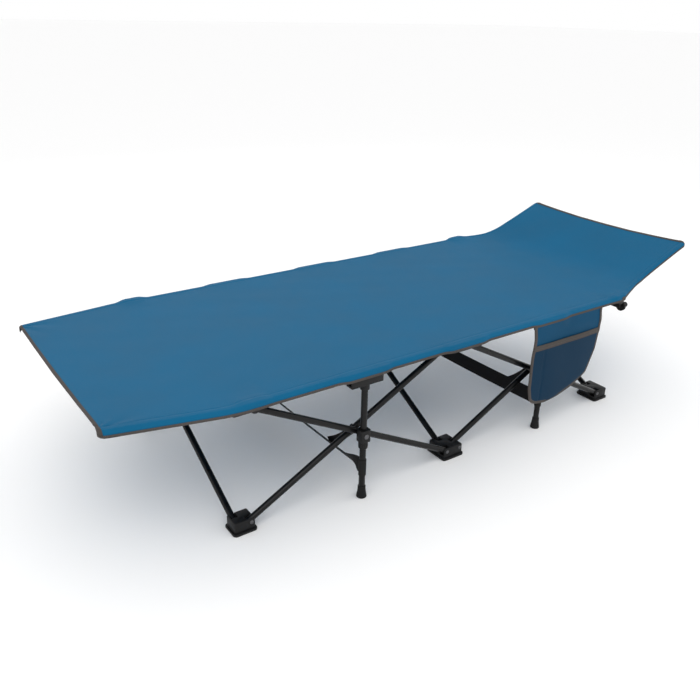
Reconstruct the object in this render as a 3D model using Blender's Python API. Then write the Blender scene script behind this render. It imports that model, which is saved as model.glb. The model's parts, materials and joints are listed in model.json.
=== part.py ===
"""Folding camp cot on a collapsing scissor frame.

+X points to the head end, -Y is the side with the pocket, +Z is up, and the ground is at z = 0.
Three stations along X carry a ground foot and a hub on each side.  Between two stations, and
across each station, a pair of equal arms crosses, so all pairs fold together.  A leg stands
in the middle of each bay, runs through the slider of its crossing and carries the side rails.
"""
import math

import bmesh
import bpy
from mathutils import Matrix, Vector

# ---- driving dimensions, in metres ----
BED_LENGTH = 1.90        # over the fabric, foot end to head end
BAY = 0.628              # distance between two stations
MIDDLE_X = -0.032        # the middle station, from the middle of the bed
RAIL_Y = 0.356           # half the distance between the side rails
RAIL_Z = 0.342           # height of the side rails' axis
TUBE = 0.016             # outer diameter of every tube
WALL = 0.001             # wall of every tube
PLANE_STEP = 0.020       # from one plane of tubes to the next
FOOT_PIVOT_Z = 0.024     # height of the pins in the ground feet
HUB_DROP = 0.011         # from the rails' axis down to the pins of the arms
PIVOT_OFFSET = 0.022     # from a station to the pins of its long arms
CROSS_OFFSET = 0.009     # from a station to the middle of either cross arm
PIN = 0.006              # diameter of every pin
END_PAST_PIN = 0.007     # tube past the pin at its end
CLEAR = 0.0003           # gap between pieces that touch
RAIL_PIN_OFFSET = 0.022  # from a station to the pin of a side rail
RAIL_END_GAP = 0.0400    # from a leg's axis to the rails' ends
LAST_RAIL_END_GAP = 0.042   # the same for the rail of the headrest
HINGE_INSET = 0.014      # from the last station in to the pin of the headrest's hinge
FOOT_HEIGHT = 0.034      # ground foot, overall
FOOT_MARGIN = 0.010      # ground feet and hubs past the pin that is nearest to their edge
HUB_TOP_PLATE = 0.0035   # plate over the arms in a hub
HUB_SKIRT = 0.010        # hub's walls below the arms' pins
EAR = 0.0035             # thin outer wall of feet, hubs and the brackets
MIDDLE_HUB_HALF = 0.048  # half the length of the two middle hubs
END_HUB_HALF = 0.030     # half the length of the four end hubs
HUB_INNER_WALL = 0.0018  # wall between an arm's slot and the rail's plane
HUB_CHEEK_HALF = 0.012   # half the length of an end hub's face against its rail
DISC_RADIUS = 0.013      # discs of the headrest's hinge
DISC_THICK = 0.006       # each of those discs
CROSS_HEAD_RADIUS = 0.014   # discs of a centre rivet
CROSS_HEAD_THICK = 0.005
STUB_FLANGE_RADIUS = 0.0155  # round flange on the head side of a last hub
STUB_FLANGE_THICK = 0.007
STUB_LENGTH = 0.018      # stub beyond that flange
STUB_INSET = 0.006       # from the rails' plane in to the stub's axis
STUB_DROP = 0.005        # from the rails' undersides down to the flange
SLIDER_WIDTH = 0.027     # slider along X
SLIDER_HEIGHT = 0.032    # slider along Z
SLIDER_WALL = 0.0055     # slider outside the leg's bore
COLLAR_RADIUS = 0.0115   # stop collar on a leg
COLLAR_HEIGHT = 0.020
BRACKET_LENGTH = 0.090   # channel on top of a leg
BRACKET_HEIGHT = 0.029
BRACKET_OVER_AXIS = 0.003   # from the rails' axis up to the channel's edges
BRACKET_FLOOR = 0.0045
BRACKET_SOCKET = 0.014   # depth of the socket that holds the leg
RUBBER_HEIGHT = 0.033    # rubber foot of a leg
RUBBER_BOTTOM = 0.013    # its radius on the ground
RUBBER_TOP = 0.0103      # its radius at the top
RUBBER_FLOOR = 0.012     # rubber under the leg's tube
FOOT_END_Y = 0.310       # half the width of the frame at the foot end
HEAD_END_Y = 0.308       # half the width of the frame at the head end
HEAD_END_Z = 0.437       # height of the head tubes' far ends
HEAD_KNEE = 0.024        # straight run of a head tube from its pin, before it turns inwards
HEAD_BEND = (0.715, 0.312, 0.352)   # where the head tubes turn up: along, half the width, height
TUBE_END_INSET = 0.012   # from the edge of the fabric to the tubes' ends
SHEET = 0.0025           # thickness of the fabric's solid
SHEET_OVERHANG = 0.008   # fabric past the rails' axis
HINGE_NOTCH = 0.020      # cut-out of the fabric on each side of the headrest's pin
NOTCH_HALF = 0.062       # half the length of the cut-out at a leg's bracket
NOTCH_DEPTH = 0.026      # depth of that cut-out
POCKET_X = (0.216, 0.488)   # the pocket's two sides
POCKET_BOTTOM = 0.092    # height of the pocket's bottom
POCKET_PANEL = 0.0012    # each panel of the pocket
POCKET_ROOM = 0.0055     # between the two panels
POCKET_MOUTH_DROP = 0.065   # from the rails' axis down to the pocket's mouth
HEM_HEIGHT = 0.004       # hem that ties the pocket to its rail
STRAP = (0.0014, 0.045)  # thickness and width of the cross straps
STRAP_Z = 0.072          # height of the straps' lower edge

# ---- sizes that follow ----
RADIUS = TUBE / 2
JOIN = 0.001                           # how far shapes of one body run into each other
BLOCK_EDGE = 0.004                     # rounding of the plastic blocks
STATIONS = [MIDDLE_X - BAY, MIDDLE_X, MIDDLE_X + BAY]
LEGS = [MIDDLE_X - BAY / 2, MIDDLE_X + BAY / 2]
OUTER_Y = RAIL_Y - PLANE_STEP
INNER_Y = OUTER_Y - PLANE_STEP
SPAN = BAY - 2 * PIVOT_OFFSET          # between the pins of one arm, level
CROSS_Y = SPAN / 2                     # cross arms' pins: the same span as the long arms
HUB_PIVOT_Z = RAIL_Z - HUB_DROP
RISE = HUB_PIVOT_Z - FOOT_PIVOT_Z
ARM = math.hypot(SPAN, RISE)
SLOPE = math.atan2(RISE, SPAN)
CROSSING_Z = (HUB_PIVOT_Z + FOOT_PIVOT_Z) / 2
LEG_TOP = RAIL_Z + BRACKET_OVER_AXIS - BRACKET_HEIGHT + RADIUS
SLOT = RADIUS + CLEAR                  # half the width of a slot for a tube
SWEEP = math.hypot(RADIUS, END_PAST_PIN) + 2 * CLEAR   # room round a pin for the tube's end
HINGE_X = STATIONS[2] - HINGE_INSET    # pin of the headrest's hinge
FOOT_END_X = -BED_LENGTH / 2
HEAD_END_X = BED_LENGTH / 2
SIDES = {"a": -1, "b": 1}              # a is the pocket's side
TUBE_SIDES = 10
PIN_SIDES = 6
BORE_SIDES = 16


# ---- shapes ----
def finish_mesh(bm, name):
    """A mesh from bm, with doubles merged and every face pointing out."""
    bmesh.ops.remove_doubles(bm, verts=bm.verts, dist=0.000001)
    bmesh.ops.recalc_face_normals(bm, faces=bm.faces)
    mesh = bpy.data.meshes.new(name)
    bm.to_mesh(mesh)
    bm.free()
    return mesh


def box(low, high, bevel=0.0, upright_only=True):
    """A box between two corners, its upright edges or all edges but the lowest rounded."""
    bm = bmesh.new()
    bmesh.ops.create_cube(bm, size=1)
    low, high = Vector(map(min, low, high)), Vector(map(max, low, high))
    for vert in bm.verts:
        vert.co = [low[i] if vert.co[i] < 0 else high[i] for i in range(3)]
    if bevel:
        edges = [e for e in bm.edges if abs(e.verts[0].co.z - e.verts[1].co.z) > 1e-6]
        if not upright_only:
            edges += [e for e in bm.edges if min(v.co.z for v in e.verts) > high.z - 1e-6]
        bmesh.ops.bevel(bm, geom=edges, offset=bevel, segments=2, affect="EDGES", profile=0.5)
    return finish_mesh(bm, "box")


def rod(start, end, radius, end_radius=None, sides=PIN_SIDES):
    """A solid round rod or cone between two points."""
    start, end = Vector(start), Vector(end)
    bm = bmesh.new()
    bmesh.ops.create_cone(bm, cap_ends=True, segments=sides, radius1=radius,
                          radius2=radius if end_radius is None else end_radius,
                          depth=(end - start).length)
    turn = (end - start).to_track_quat("Z", "Y").to_matrix().to_4x4()
    bm.transform(Matrix.Translation((start + end) / 2) @ turn)
    return finish_mesh(bm, "rod")


def drill(start, end, radius, sides=PIN_SIDES):
    """A cutter for a hole that leaves CLEAR round a pin or tube of that radius, however it turns."""
    return rod(start, end, (radius + CLEAR) / math.cos(math.pi / sides), sides=sides)


def tube(points, radius=RADIUS, wall=WALL, sides=TUBE_SIDES):
    """A hollow tube along points, open at both ends, mitred where it bends."""
    points = [Vector(p) for p in points]
    bm = bmesh.new()
    rings = []
    for i, point in enumerate(points):
        ways = [(b - a).normalized() for a, b in zip(points, points[1:])][max(i - 1, 0):i + 1]
        along = sum(ways, Vector()).normalized()
        side = along.cross(Vector((1, 0, 0) if abs(along.z) > 0.9 else (0, 0, 1))).normalized()
        up = side.cross(along)
        ring = []
        for r in (radius, radius - wall):
            turns = [2 * math.pi * (k + 0.5) / sides for k in range(sides)]
            ring.append([bm.verts.new(point + r * (math.cos(t) * side + math.sin(t) * up))
                         for t in turns])
        rings.append(ring)
    for k in range(sides):
        n = (k + 1) % sides
        for a, b in zip(rings, rings[1:]):
            for skin in (0, 1):
                bm.faces.new((a[skin][k], a[skin][n], b[skin][n], b[skin][k]))
        for ring in (rings[0], rings[-1]):
            bm.faces.new((ring[0][k], ring[0][n], ring[1][n], ring[1][k]))
    return finish_mesh(bm, "tube")


def slab(outline, z_low, z_high):
    """A flat solid over an outline of (x, y) points."""
    bm = bmesh.new()
    face = bm.faces.new([bm.verts.new((x, y, z_low)) for x, y in outline])
    grown = bmesh.ops.extrude_face_region(bm, geom=[face])["geom"]
    lifted = [g for g in grown if isinstance(g, bmesh.types.BMVert)]
    bmesh.ops.translate(bm, vec=(0, 0, z_high - z_low), verts=lifted)
    bmesh.ops.triangulate(bm, faces=bm.faces)
    return finish_mesh(bm, "slab")


def ribbon(half, low, high):
    """A sheet across the bed; half holds (x, half its width, z) from row to row."""
    bm = bmesh.new()
    rows = [[bm.verts.new((x, y * s, z + up)) for s, up in ((-1, low), (1, low), (1, high), (-1, high))]
            for x, y, z in half]
    for a, b in zip(rows, rows[1:]):
        for k in range(4):
            bm.faces.new((a[k], a[(k + 1) % 4], b[(k + 1) % 4], b[k]))
    bm.faces.new(rows[0])
    bm.faces.new(rows[-1])
    return finish_mesh(bm, "ribbon")


def combined(base, add=(), cut=()):
    """base joined with every mesh of add, and then without every mesh of cut."""
    body = bpy.data.objects.new("work", base)
    bpy.context.collection.objects.link(body)
    tools = []
    for meshes, operation in ((add, "UNION"), (cut, "DIFFERENCE")):
        for mesh in meshes:
            tool = bpy.data.objects.new("tool", mesh)
            bpy.context.collection.objects.link(tool)
            tools.append(tool)
            step = body.modifiers.new(operation, "BOOLEAN")
            step.operation = operation
            step.object = tool
    evaluated = body.evaluated_get(bpy.context.evaluated_depsgraph_get())
    result = bpy.data.meshes.new_from_object(evaluated)
    for obj in [body] + tools:
        bpy.data.objects.remove(obj)
    return result


# ---- objects and materials ----
def finish_of(name, colour, roughness, metallic=0.0):
    """The Principled material of that name, made once."""
    material = bpy.data.materials.get(name)
    if material is None:
        material = bpy.data.materials.new(name)
        material.use_nodes = True
        shader = material.node_tree.nodes["Principled BSDF"]
        shader.inputs["Base Color"].default_value = (*colour, 1)
        shader.inputs["Roughness"].default_value = roughness
        shader.inputs["Metallic"].default_value = metallic
    return material


def frame_steel():
    return finish_of("frame_steel", (0.012, 0.012, 0.014), 0.28, 0.6)


def black_plastic():
    return finish_of("black_plastic", (0.015, 0.015, 0.016), 0.55)


def leg_rubber():
    return finish_of("leg_rubber", (0.02, 0.02, 0.02), 0.8)


def bed_fabric():
    return finish_of("bed_fabric", (0.045, 0.165, 0.315), 0.8)


def black_webbing():
    return finish_of("black_webbing", (0.02, 0.02, 0.022), 0.85)


def place(name, mesh, material, pivot=(0, 0, 0), rotation=(0, 0, 0), built_at_pivot=False):
    """The object of that name, with its origin on its joint's axis."""
    if not built_at_pivot:
        mesh.transform(Matrix.Translation(-Vector(pivot)))
    mesh.shade_smooth()
    mesh.set_sharp_from_angle(angle=math.radians(40))
    if not mesh.materials:
        mesh.materials.append(material)
    obj = bpy.data.objects.new(name, mesh)
    obj.location = pivot
    obj.rotation_euler = rotation
    bpy.context.collection.objects.link(obj)
    return obj


# ---- the scissor arms: one tube with three cross holes, used fourteen times ----
def arm_mesh():
    """Along +X from its first pin, which is at the origin; its pins lie along Y."""
    body = tube([(-END_PAST_PIN, 0, 0), (ARM + END_PAST_PIN, 0, 0)])
    holes = [drill((x, -TUBE, 0), (x, TUBE, 0), PIN / 2) for x in (0, ARM / 2, ARM)]
    return combined(body, cut=holes)


def long_arms(mesh):
    """In each bay and side, one arm rises to the head end and the other falls to it."""
    for side, s in SIDES.items():
        for bay in (0, 1):
            start = STATIONS[bay] + PIVOT_OFFSET
            place(f"rising_arm_{side}{bay}", mesh, frame_steel(), (start, s * INNER_Y, FOOT_PIVOT_Z),
                  (0, -SLOPE, 0), True)
            place(f"falling_arm_{side}{bay}", mesh, frame_steel(), (start, s * OUTER_Y, HUB_PIVOT_Z),
                  (0, SLOPE, 0), True)


def cross_arms(mesh):
    """Across each station, from the foot of one side to the hub of the other."""
    for side, s in SIDES.items():
        for i, x in enumerate(STATIONS):
            turn = Matrix.Rotation(-s * math.pi / 2, 4, "Z") @ Matrix.Rotation(-SLOPE, 4, "Y")
            place(f"cross_arm_{side}{i}", mesh, frame_steel(),
                  (x + s * CROSS_OFFSET, s * CROSS_Y, FOOT_PIVOT_Z), turn.to_euler(), True)


def cross_pivots():
    """The plastic rivet that joins two cross arms in the middle."""
    reach = CROSS_OFFSET + RADIUS + CLEAR
    head = CROSS_HEAD_THICK
    for i, x in enumerate(STATIONS):
        shank = rod((x - reach - head / 2, 0, CROSSING_Z), (x + reach + head / 2, 0, CROSSING_Z), PIN / 2)
        heads = [rod((x + d * reach, 0, CROSSING_Z), (x + d * (reach + head), 0, CROSSING_Z),
                     CROSS_HEAD_RADIUS, sides=12) for d in (-1, 1)]
        place(f"cross_pivot_{i}", combined(shank, heads), black_plastic(), (x, 0, CROSSING_Z))


# ---- ground feet and hubs: blocks with a slot and a pin for each tube ----
def long_pins(station, s, at_foot):
    """(x, y, direction) of the long arms' pins at a station's foot or hub."""
    pins = []
    rising_starts, falling_starts = at_foot, not at_foot
    for starts, y in ((rising_starts, INNER_Y), (falling_starts, OUTER_Y)):
        if starts and station < 2:
            pins.append((STATIONS[station] + PIVOT_OFFSET, s * y, 1))
        if not starts and station > 0:
            pins.append((STATIONS[station] - PIVOT_OFFSET, s * y, -1))
    return pins


def slots_and_pins(station, s, z, up, half, at_foot):
    """Cutters for the tubes' slots, which open upwards if up is 1, and the pins across them."""
    open_z = z + up * 0.05
    closed_z = z - up * SWEEP
    grip = SLOT + EAR / 2
    cuts, pins = [], []
    for x, y, way in long_pins(station, s, at_foot):
        end = STATIONS[station] + way * (half + 0.02)
        cuts.append(box((x - way * SWEEP, y - SLOT, closed_z), (end, y + SLOT, open_z)))
        pins.append(rod((x, y - grip, z), (x, y + grip, z), PIN / 2))
    cross_x = STATIONS[station] + (s if at_foot else -s) * CROSS_OFFSET
    cuts.append(box((cross_x - SLOT, s * (CROSS_Y + SWEEP), closed_z),
                    (cross_x + SLOT, s * (CROSS_Y - 0.05), open_z)))
    pins.append(rod((cross_x - grip, s * CROSS_Y, z), (cross_x + grip, s * CROSS_Y, z), PIN / 2))
    return cuts, pins


def reach_along(station, way, half):
    """How far a foot or hub goes from its station: half on a long arm's side, else round its cross arm."""
    neighbour = station + way
    return half if 0 <= neighbour <= 2 else CROSS_OFFSET + SLOT + EAR


def ground_feet():
    """Blocks with rounded upper edges; the tubes stand in slots that open upwards."""
    half = PIVOT_OFFSET + FOOT_MARGIN
    for side, s in SIDES.items():
        for i, x in enumerate(STATIONS):
            cuts, pins = slots_and_pins(i, s, FOOT_PIVOT_Z, 1, half, True)
            outer_plane = INNER_Y if i == 0 else OUTER_Y
            outer_face = outer_plane + SLOT + EAR
            block = box((x - reach_along(i, -1, half), s * (CROSS_Y - FOOT_MARGIN), 0),
                        (x + reach_along(i, 1, half), s * outer_face, FOOT_HEIGHT), BLOCK_EDGE, False)
            mesh = combined(combined(block, cut=cuts), add=pins)
            place(f"ground_foot_{side}{i}", mesh, black_plastic(), (x, s * INNER_Y, 0))


def end_stub(s, x, block_face):
    """The flange and the capped stub on the head side of a last hub, and the neck that carries them."""
    y, z = s * (RAIL_Y - STUB_INSET), RAIL_Z - RADIUS - STUB_FLANGE_RADIUS - STUB_DROP
    start = x + PIVOT_OFFSET / 2
    flange = start + STUB_FLANGE_THICK
    neck = box((x, s * (block_face - JOIN), z - RADIUS / 2), (start + JOIN, y + s * RADIUS / 2, z + RADIUS))
    return [neck, rod((start, y, z), (flange, y, z), STUB_FLANGE_RADIUS, sides=16),
            rod((flange - JOIN, y, z), (flange + STUB_LENGTH, y, z), RADIUS, sides=12)]


def hubs():
    """Blocks under the rails; the arms hang in slots below, the rails' pins stand outside."""
    top = HUB_PIVOT_Z + SWEEP + HUB_TOP_PLATE
    bottom = HUB_PIVOT_Z - HUB_SKIRT
    cheek = RAIL_Y - SLOT
    outer_face = RAIL_Y + SLOT + EAR
    for side, s in SIDES.items():
        for i, x in enumerate(STATIONS):
            half = MIDDLE_HUB_HALF if i == 1 else END_HUB_HALF
            block_face = (INNER_Y if i == 2 else OUTER_Y) + SLOT + HUB_INNER_WALL
            cuts, pins = slots_and_pins(i, s, HUB_PIVOT_Z, -1, half, False)
            block = box((x - reach_along(i, -1, half), s * (CROSS_Y - FOOT_MARGIN), bottom),
                        (x + reach_along(i, 1, half), s * block_face, top), BLOCK_EDGE)
            body = combined(block, cut=cuts)
            cheek_half = half - JOIN if i == 1 else HUB_CHEEK_HALF
            rail_pins = {0: [x + RAIL_PIN_OFFSET], 2: [HINGE_X],
                         1: [x - RAIL_PIN_OFFSET, x + RAIL_PIN_OFFSET]}[i]
            middle = x if i == 1 else rail_pins[0]
            adds = pins + [box((middle - cheek_half, s * (block_face - JOIN), RAIL_Z - RADIUS),
                               (middle + cheek_half, s * cheek, top - JOIN))]
            if i == 1:
                low, high = RAIL_Z - RADIUS - EAR, RAIL_Z + RADIUS
                web = RAIL_PIN_OFFSET - SWEEP
                adds.append(box((x - web, s * (cheek - JOIN), low + JOIN),
                                (x + web, s * (outer_face - JOIN), high - JOIN)))
                adds.append(box((x - half, s * (RAIL_Y + SLOT), low), (x + half, s * outer_face, high)))
            else:
                adds.append(rod((middle, s * (RAIL_Y + SLOT), RAIL_Z), (middle, s * outer_face, RAIL_Z),
                                DISC_RADIUS, sides=16))
            if i == 2:
                adds += end_stub(s, x, block_face)
            for pin_x in rail_pins:
                adds.append(rod((pin_x, s * (cheek - PIN / 2), RAIL_Z),
                                (pin_x, s * (outer_face - JOIN), RAIL_Z), PIN / 2))
            place(f"hub_{side}{i}", combined(body, add=adds), black_plastic(), (x, s * INNER_Y, HUB_PIVOT_Z))


# ---- sliders and legs ----
def sliders():
    """A block on the pin of each crossing, with an upright bore for the leg."""
    inner = OUTER_Y + RADIUS + CLEAR
    outer = RAIL_Y + RADIUS + SLIDER_WALL
    for side, s in SIDES.items():
        for i, x in enumerate(LEGS):
            block = box((x - SLIDER_WIDTH / 2, s * inner, CROSSING_Z - SLIDER_HEIGHT / 2),
                        (x + SLIDER_WIDTH / 2, s * outer, CROSSING_Z + SLIDER_HEIGHT / 2), BLOCK_EDGE)
            bore = drill((x, s * RAIL_Y, CROSSING_Z - SLIDER_HEIGHT),
                         (x, s * RAIL_Y, CROSSING_Z + SLIDER_HEIGHT), RADIUS, BORE_SIDES)
            far_end = INNER_Y - RADIUS - CLEAR
            pin = rod((x, s * (inner + 0.0015), CROSSING_Z), (x, s * (far_end - 0.001), CROSSING_Z), PIN / 2)
            head = rod((x, s * far_end, CROSSING_Z), (x, s * (far_end - 0.0025), CROSSING_Z), PIN, sides=12)
            mesh = combined(combined(block, cut=[bore]), add=[pin, head])
            place(f"slider_{side}{i}", mesh, black_plastic(), (x, s * RAIL_Y, CROSSING_Z))


def legs():
    """Upright tubes with a stop collar under the slider."""
    top = LEG_TOP - CLEAR
    collar_top = CROSSING_Z - SLIDER_HEIGHT / 2 - CLEAR
    for side, s in SIDES.items():
        for i, x in enumerate(LEGS):
            y = s * RAIL_Y
            body = tube([(x, y, RUBBER_FLOOR + CLEAR), (x, y, top)])
            collar = tube([(x, y, collar_top - COLLAR_HEIGHT), (x, y, collar_top)],
                          COLLAR_RADIUS, COLLAR_RADIUS - RADIUS + WALL / 2)
            mesh = combined(body, [collar])
            place(f"leg_{side}{i}", mesh, frame_steel(), (x, y, CROSSING_Z))


def leg_brackets():
    """Channels open at the top and ends, with a socket below for the leg."""
    high = RAIL_Z + BRACKET_OVER_AXIS
    floor_low = high - BRACKET_HEIGHT
    half_width = SLOT + CLEAR + EAR
    for side, s in SIDES.items():
        for i, x in enumerate(LEGS):
            y = s * RAIL_Y
            body = box((x - BRACKET_LENGTH / 2, y - half_width, floor_low),
                       (x + BRACKET_LENGTH / 2, y + half_width, high))
            socket = rod((x, y, floor_low - BRACKET_SOCKET), (x, y, floor_low + JOIN),
                         COLLAR_RADIUS, sides=16)
            channel = box((x - BRACKET_LENGTH, y - half_width + EAR, floor_low + BRACKET_FLOOR),
                          (x + BRACKET_LENGTH, y + half_width - EAR, high + 0.01))
            bore = drill((x, y, floor_low - 2 * BRACKET_SOCKET), (x, y, LEG_TOP), RADIUS, BORE_SIDES)
            place(f"leg_bracket_{side}{i}", combined(body, [socket], [channel, bore]), black_plastic(),
                  (x, y, CROSSING_Z))


def rubber_feet():
    for side, s in SIDES.items():
        for i, x in enumerate(LEGS):
            y = s * RAIL_Y
            body = rod((x, y, 0), (x, y, RUBBER_HEIGHT), RUBBER_BOTTOM, RUBBER_TOP, sides=16)
            bore = drill((x, y, RUBBER_FLOOR), (x, y, 2 * RUBBER_HEIGHT), RADIUS, BORE_SIDES)
            place(f"rubber_foot_{side}{i}", combined(body, cut=[bore]), leg_rubber(), (x, y, CROSSING_Z))


# ---- side rails and head tubes ----
def side_rails():
    """Rails 0 and 3 run past the end hubs' pins; rails 1 and 2 end in the middle hub."""
    for side, s in SIDES.items():
        y = s * RAIL_Y
        ends = {0: LEGS[0] - RAIL_END_GAP, 1: LEGS[0] + RAIL_END_GAP,
                2: LEGS[1] - RAIL_END_GAP, 3: LEGS[1] + LAST_RAIL_END_GAP}
        pins = {0: STATIONS[0] + RAIL_PIN_OFFSET, 1: MIDDLE_X - RAIL_PIN_OFFSET,
                2: MIDDLE_X + RAIL_PIN_OFFSET}
        for i, pin_x in pins.items():
            inward = -1 if i == 1 else 1
            if i == 0:
                bend = STATIONS[0] - END_HUB_HALF
                points = [(FOOT_END_X + TUBE_END_INSET, s * FOOT_END_Y, RAIL_Z), (bend, y, RAIL_Z),
                          (ends[0], y, RAIL_Z)]
            else:
                points = [(pin_x - inward * END_PAST_PIN, y, RAIL_Z), (ends[i], y, RAIL_Z)]
            hole = drill((pin_x, y - TUBE, RAIL_Z), (pin_x, y + TUBE, RAIL_Z), PIN / 2)
            mesh = combined(tube(points), cut=[hole])
            place(f"side_rail_{side}{i}", mesh, frame_steel(), (pin_x, y, RAIL_Z))
        start = Vector((HINGE_X - DISC_RADIUS - 2 * CLEAR, y, RAIL_Z))
        mesh = hinge_half(s, -1, [start, Vector((ends[3], y, RAIL_Z))])
        place(f"side_rail_{side}3", mesh, frame_steel(), (HINGE_X, y, RAIL_Z))


def hinge_half(s, which, points):
    """A tube with a flat tongue and a disc on the hinge's pin; which is -1 inside, 1 outside."""
    y = s * RAIL_Y
    near = y + s * which * CLEAR
    far = y + s * which * (CLEAR + DISC_THICK)
    disc = rod((HINGE_X, near, RAIL_Z), (HINGE_X, far, RAIL_Z), DISC_RADIUS, sides=16)
    pull = (points[1] - points[0]).normalized()
    tongue = box((0, near + s * which * 2 * CLEAR, -PIN),
                 (2 * DISC_RADIUS, far - s * which * 2 * CLEAR, PIN))
    tilt = math.atan2(pull.z, pull.x)
    tongue.transform(Matrix.Translation((HINGE_X, 0, RAIL_Z)) @ Matrix.Rotation(-tilt, 4, "Y"))
    hole = drill((HINGE_X, y - TUBE, RAIL_Z), (HINGE_X, y + TUBE, RAIL_Z), PIN / 2)
    return combined(tube(points), [disc, tongue], [hole])


def head_tubes():
    """From the hinge out and inwards, and after a second bend up to the corner of the head end."""
    for side, s in SIDES.items():
        pin = Vector((HINGE_X, s * RAIL_Y, RAIL_Z))
        bend = Vector((HEAD_BEND[0], s * HEAD_BEND[1], HEAD_BEND[2]))
        end = Vector((HEAD_END_X - TUBE_END_INSET, s * HEAD_END_Y, HEAD_END_Z))
        rise = Vector((1, 0, (bend.z - pin.z) / (bend.x - pin.x))).normalized()
        start = pin + rise * (DISC_RADIUS + 2 * CLEAR)
        knee = pin + rise * HEAD_KNEE
        place(f"head_tube_{side}", hinge_half(s, 1, [start, knee, bend, end]), frame_steel(), pin)


# ---- fabric and straps ----
def bed_sheet():
    """The flat part of the bed, cut out at the four leg brackets."""
    edge = RAIL_Y + SHEET_OVERHANG
    half = [(FOOT_END_X, FOOT_END_Y + SHEET_OVERHANG), (STATIONS[0] - END_HUB_HALF, edge)]
    for x in LEGS:
        half += [(x - NOTCH_HALF, edge), (x - NOTCH_HALF * 0.7, edge - NOTCH_DEPTH),
                 (x + NOTCH_HALF * 0.7, edge - NOTCH_DEPTH), (x + NOTCH_HALF, edge)]
    half += [(HINGE_X - HINGE_NOTCH, edge), (HINGE_X - HINGE_NOTCH, edge - NOTCH_DEPTH),
             (HINGE_X - 0.002, edge - NOTCH_DEPTH)]
    outline = half + [(x, -y) for x, y in reversed(half)]
    low = RAIL_Z + RADIUS + CLEAR
    place("bed_sheet", slab(outline, low, low + SHEET), bed_fabric(), (MIDDLE_X, 0, RAIL_Z))


def head_sheet():
    """The raised head section, resting on the two bent head tubes."""
    edge = RAIL_Y + SHEET_OVERHANG
    end = Vector((HEAD_END_X, HEAD_END_Y + SHEET_OVERHANG, HEAD_END_Z))
    bend = Vector((HEAD_BEND[0], HEAD_BEND[1] + SHEET_OVERHANG, HEAD_BEND[2]))
    rise = (end.z - bend.z) / (end.x - TUBE_END_INSET - bend.x)
    lift = (RADIUS + CLEAR) * math.hypot(1, rise)
    end.z += rise * TUBE_END_INSET
    notch = edge - NOTCH_DEPTH
    slope = (bend.z - RAIL_Z) / (bend.x - HINGE_X)
    starts = [(SHEET, notch), (HINGE_NOTCH, notch), (HINGE_NOTCH + JOIN, edge - SHEET)]
    half = [(HINGE_X + past, y, RAIL_Z + slope * past) for past, y in starts]
    half += [tuple(bend), tuple(end)]
    place("head_sheet", ribbon(half, lift, lift + SHEET), bed_fabric(), (HINGE_X, 0, RAIL_Z))


def side_pocket():
    """An open-topped pouch outside the sliders; its hem runs in to the last rail, which carries it."""
    back = -(RAIL_Y + RADIUS + SLIDER_WALL + CLEAR)
    front = back - 2 * POCKET_PANEL - POCKET_ROOM
    left, right = POCKET_X
    mouth = RAIL_Z - POCKET_MOUTH_DROP
    body = box((left, back, POCKET_BOTTOM), (right, front, RAIL_Z))
    room = box((left + POCKET_PANEL, back - POCKET_PANEL, POCKET_BOTTOM + POCKET_PANEL),
               (right - POCKET_PANEL, front + POCKET_PANEL, RAIL_Z + 0.01))
    open_front = box((left - 0.01, back - POCKET_PANEL, mouth), (right + 0.01, front - 0.01, RAIL_Z + 0.01))
    hem = box((LEGS[1] + BRACKET_LENGTH / 2 + 2 * CLEAR, back - POCKET_PANEL / 2, RAIL_Z - HEM_HEIGHT),
              (right, -(RAIL_Y + RADIUS + CLEAR), RAIL_Z - 0.0004))
    place("side_pocket", combined(combined(body, cut=[room, open_front]), [hem]), bed_fabric(),
          (STATIONS[2], -RAIL_Y, RAIL_Z))


def cross_straps():
    """Webbing between the two legs of a bay."""
    reach = RAIL_Y - RADIUS - CLEAR
    for i, x in enumerate(LEGS):
        mesh = box((x - STRAP[0] / 2, -reach, STRAP_Z), (x + STRAP[0] / 2, reach, STRAP_Z + STRAP[1]))
        place(f"cross_strap_{i}", mesh, black_webbing(), (x, -RAIL_Y, STRAP_Z))


def build():
    for obj in list(bpy.data.objects):
        bpy.data.objects.remove(obj)
    shared = arm_mesh()
    long_arms(shared)
    cross_arms(shared)
    cross_pivots()
    ground_feet()
    hubs()
    sliders()
    legs()
    leg_brackets()
    rubber_feet()
    side_rails()
    head_tubes()
    bed_sheet()
    head_sheet()
    side_pocket()
    cross_straps()


build()
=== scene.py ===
import json
import math

import bmesh
import bpy
import numpy as np
from mathutils import Matrix, Vector

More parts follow.
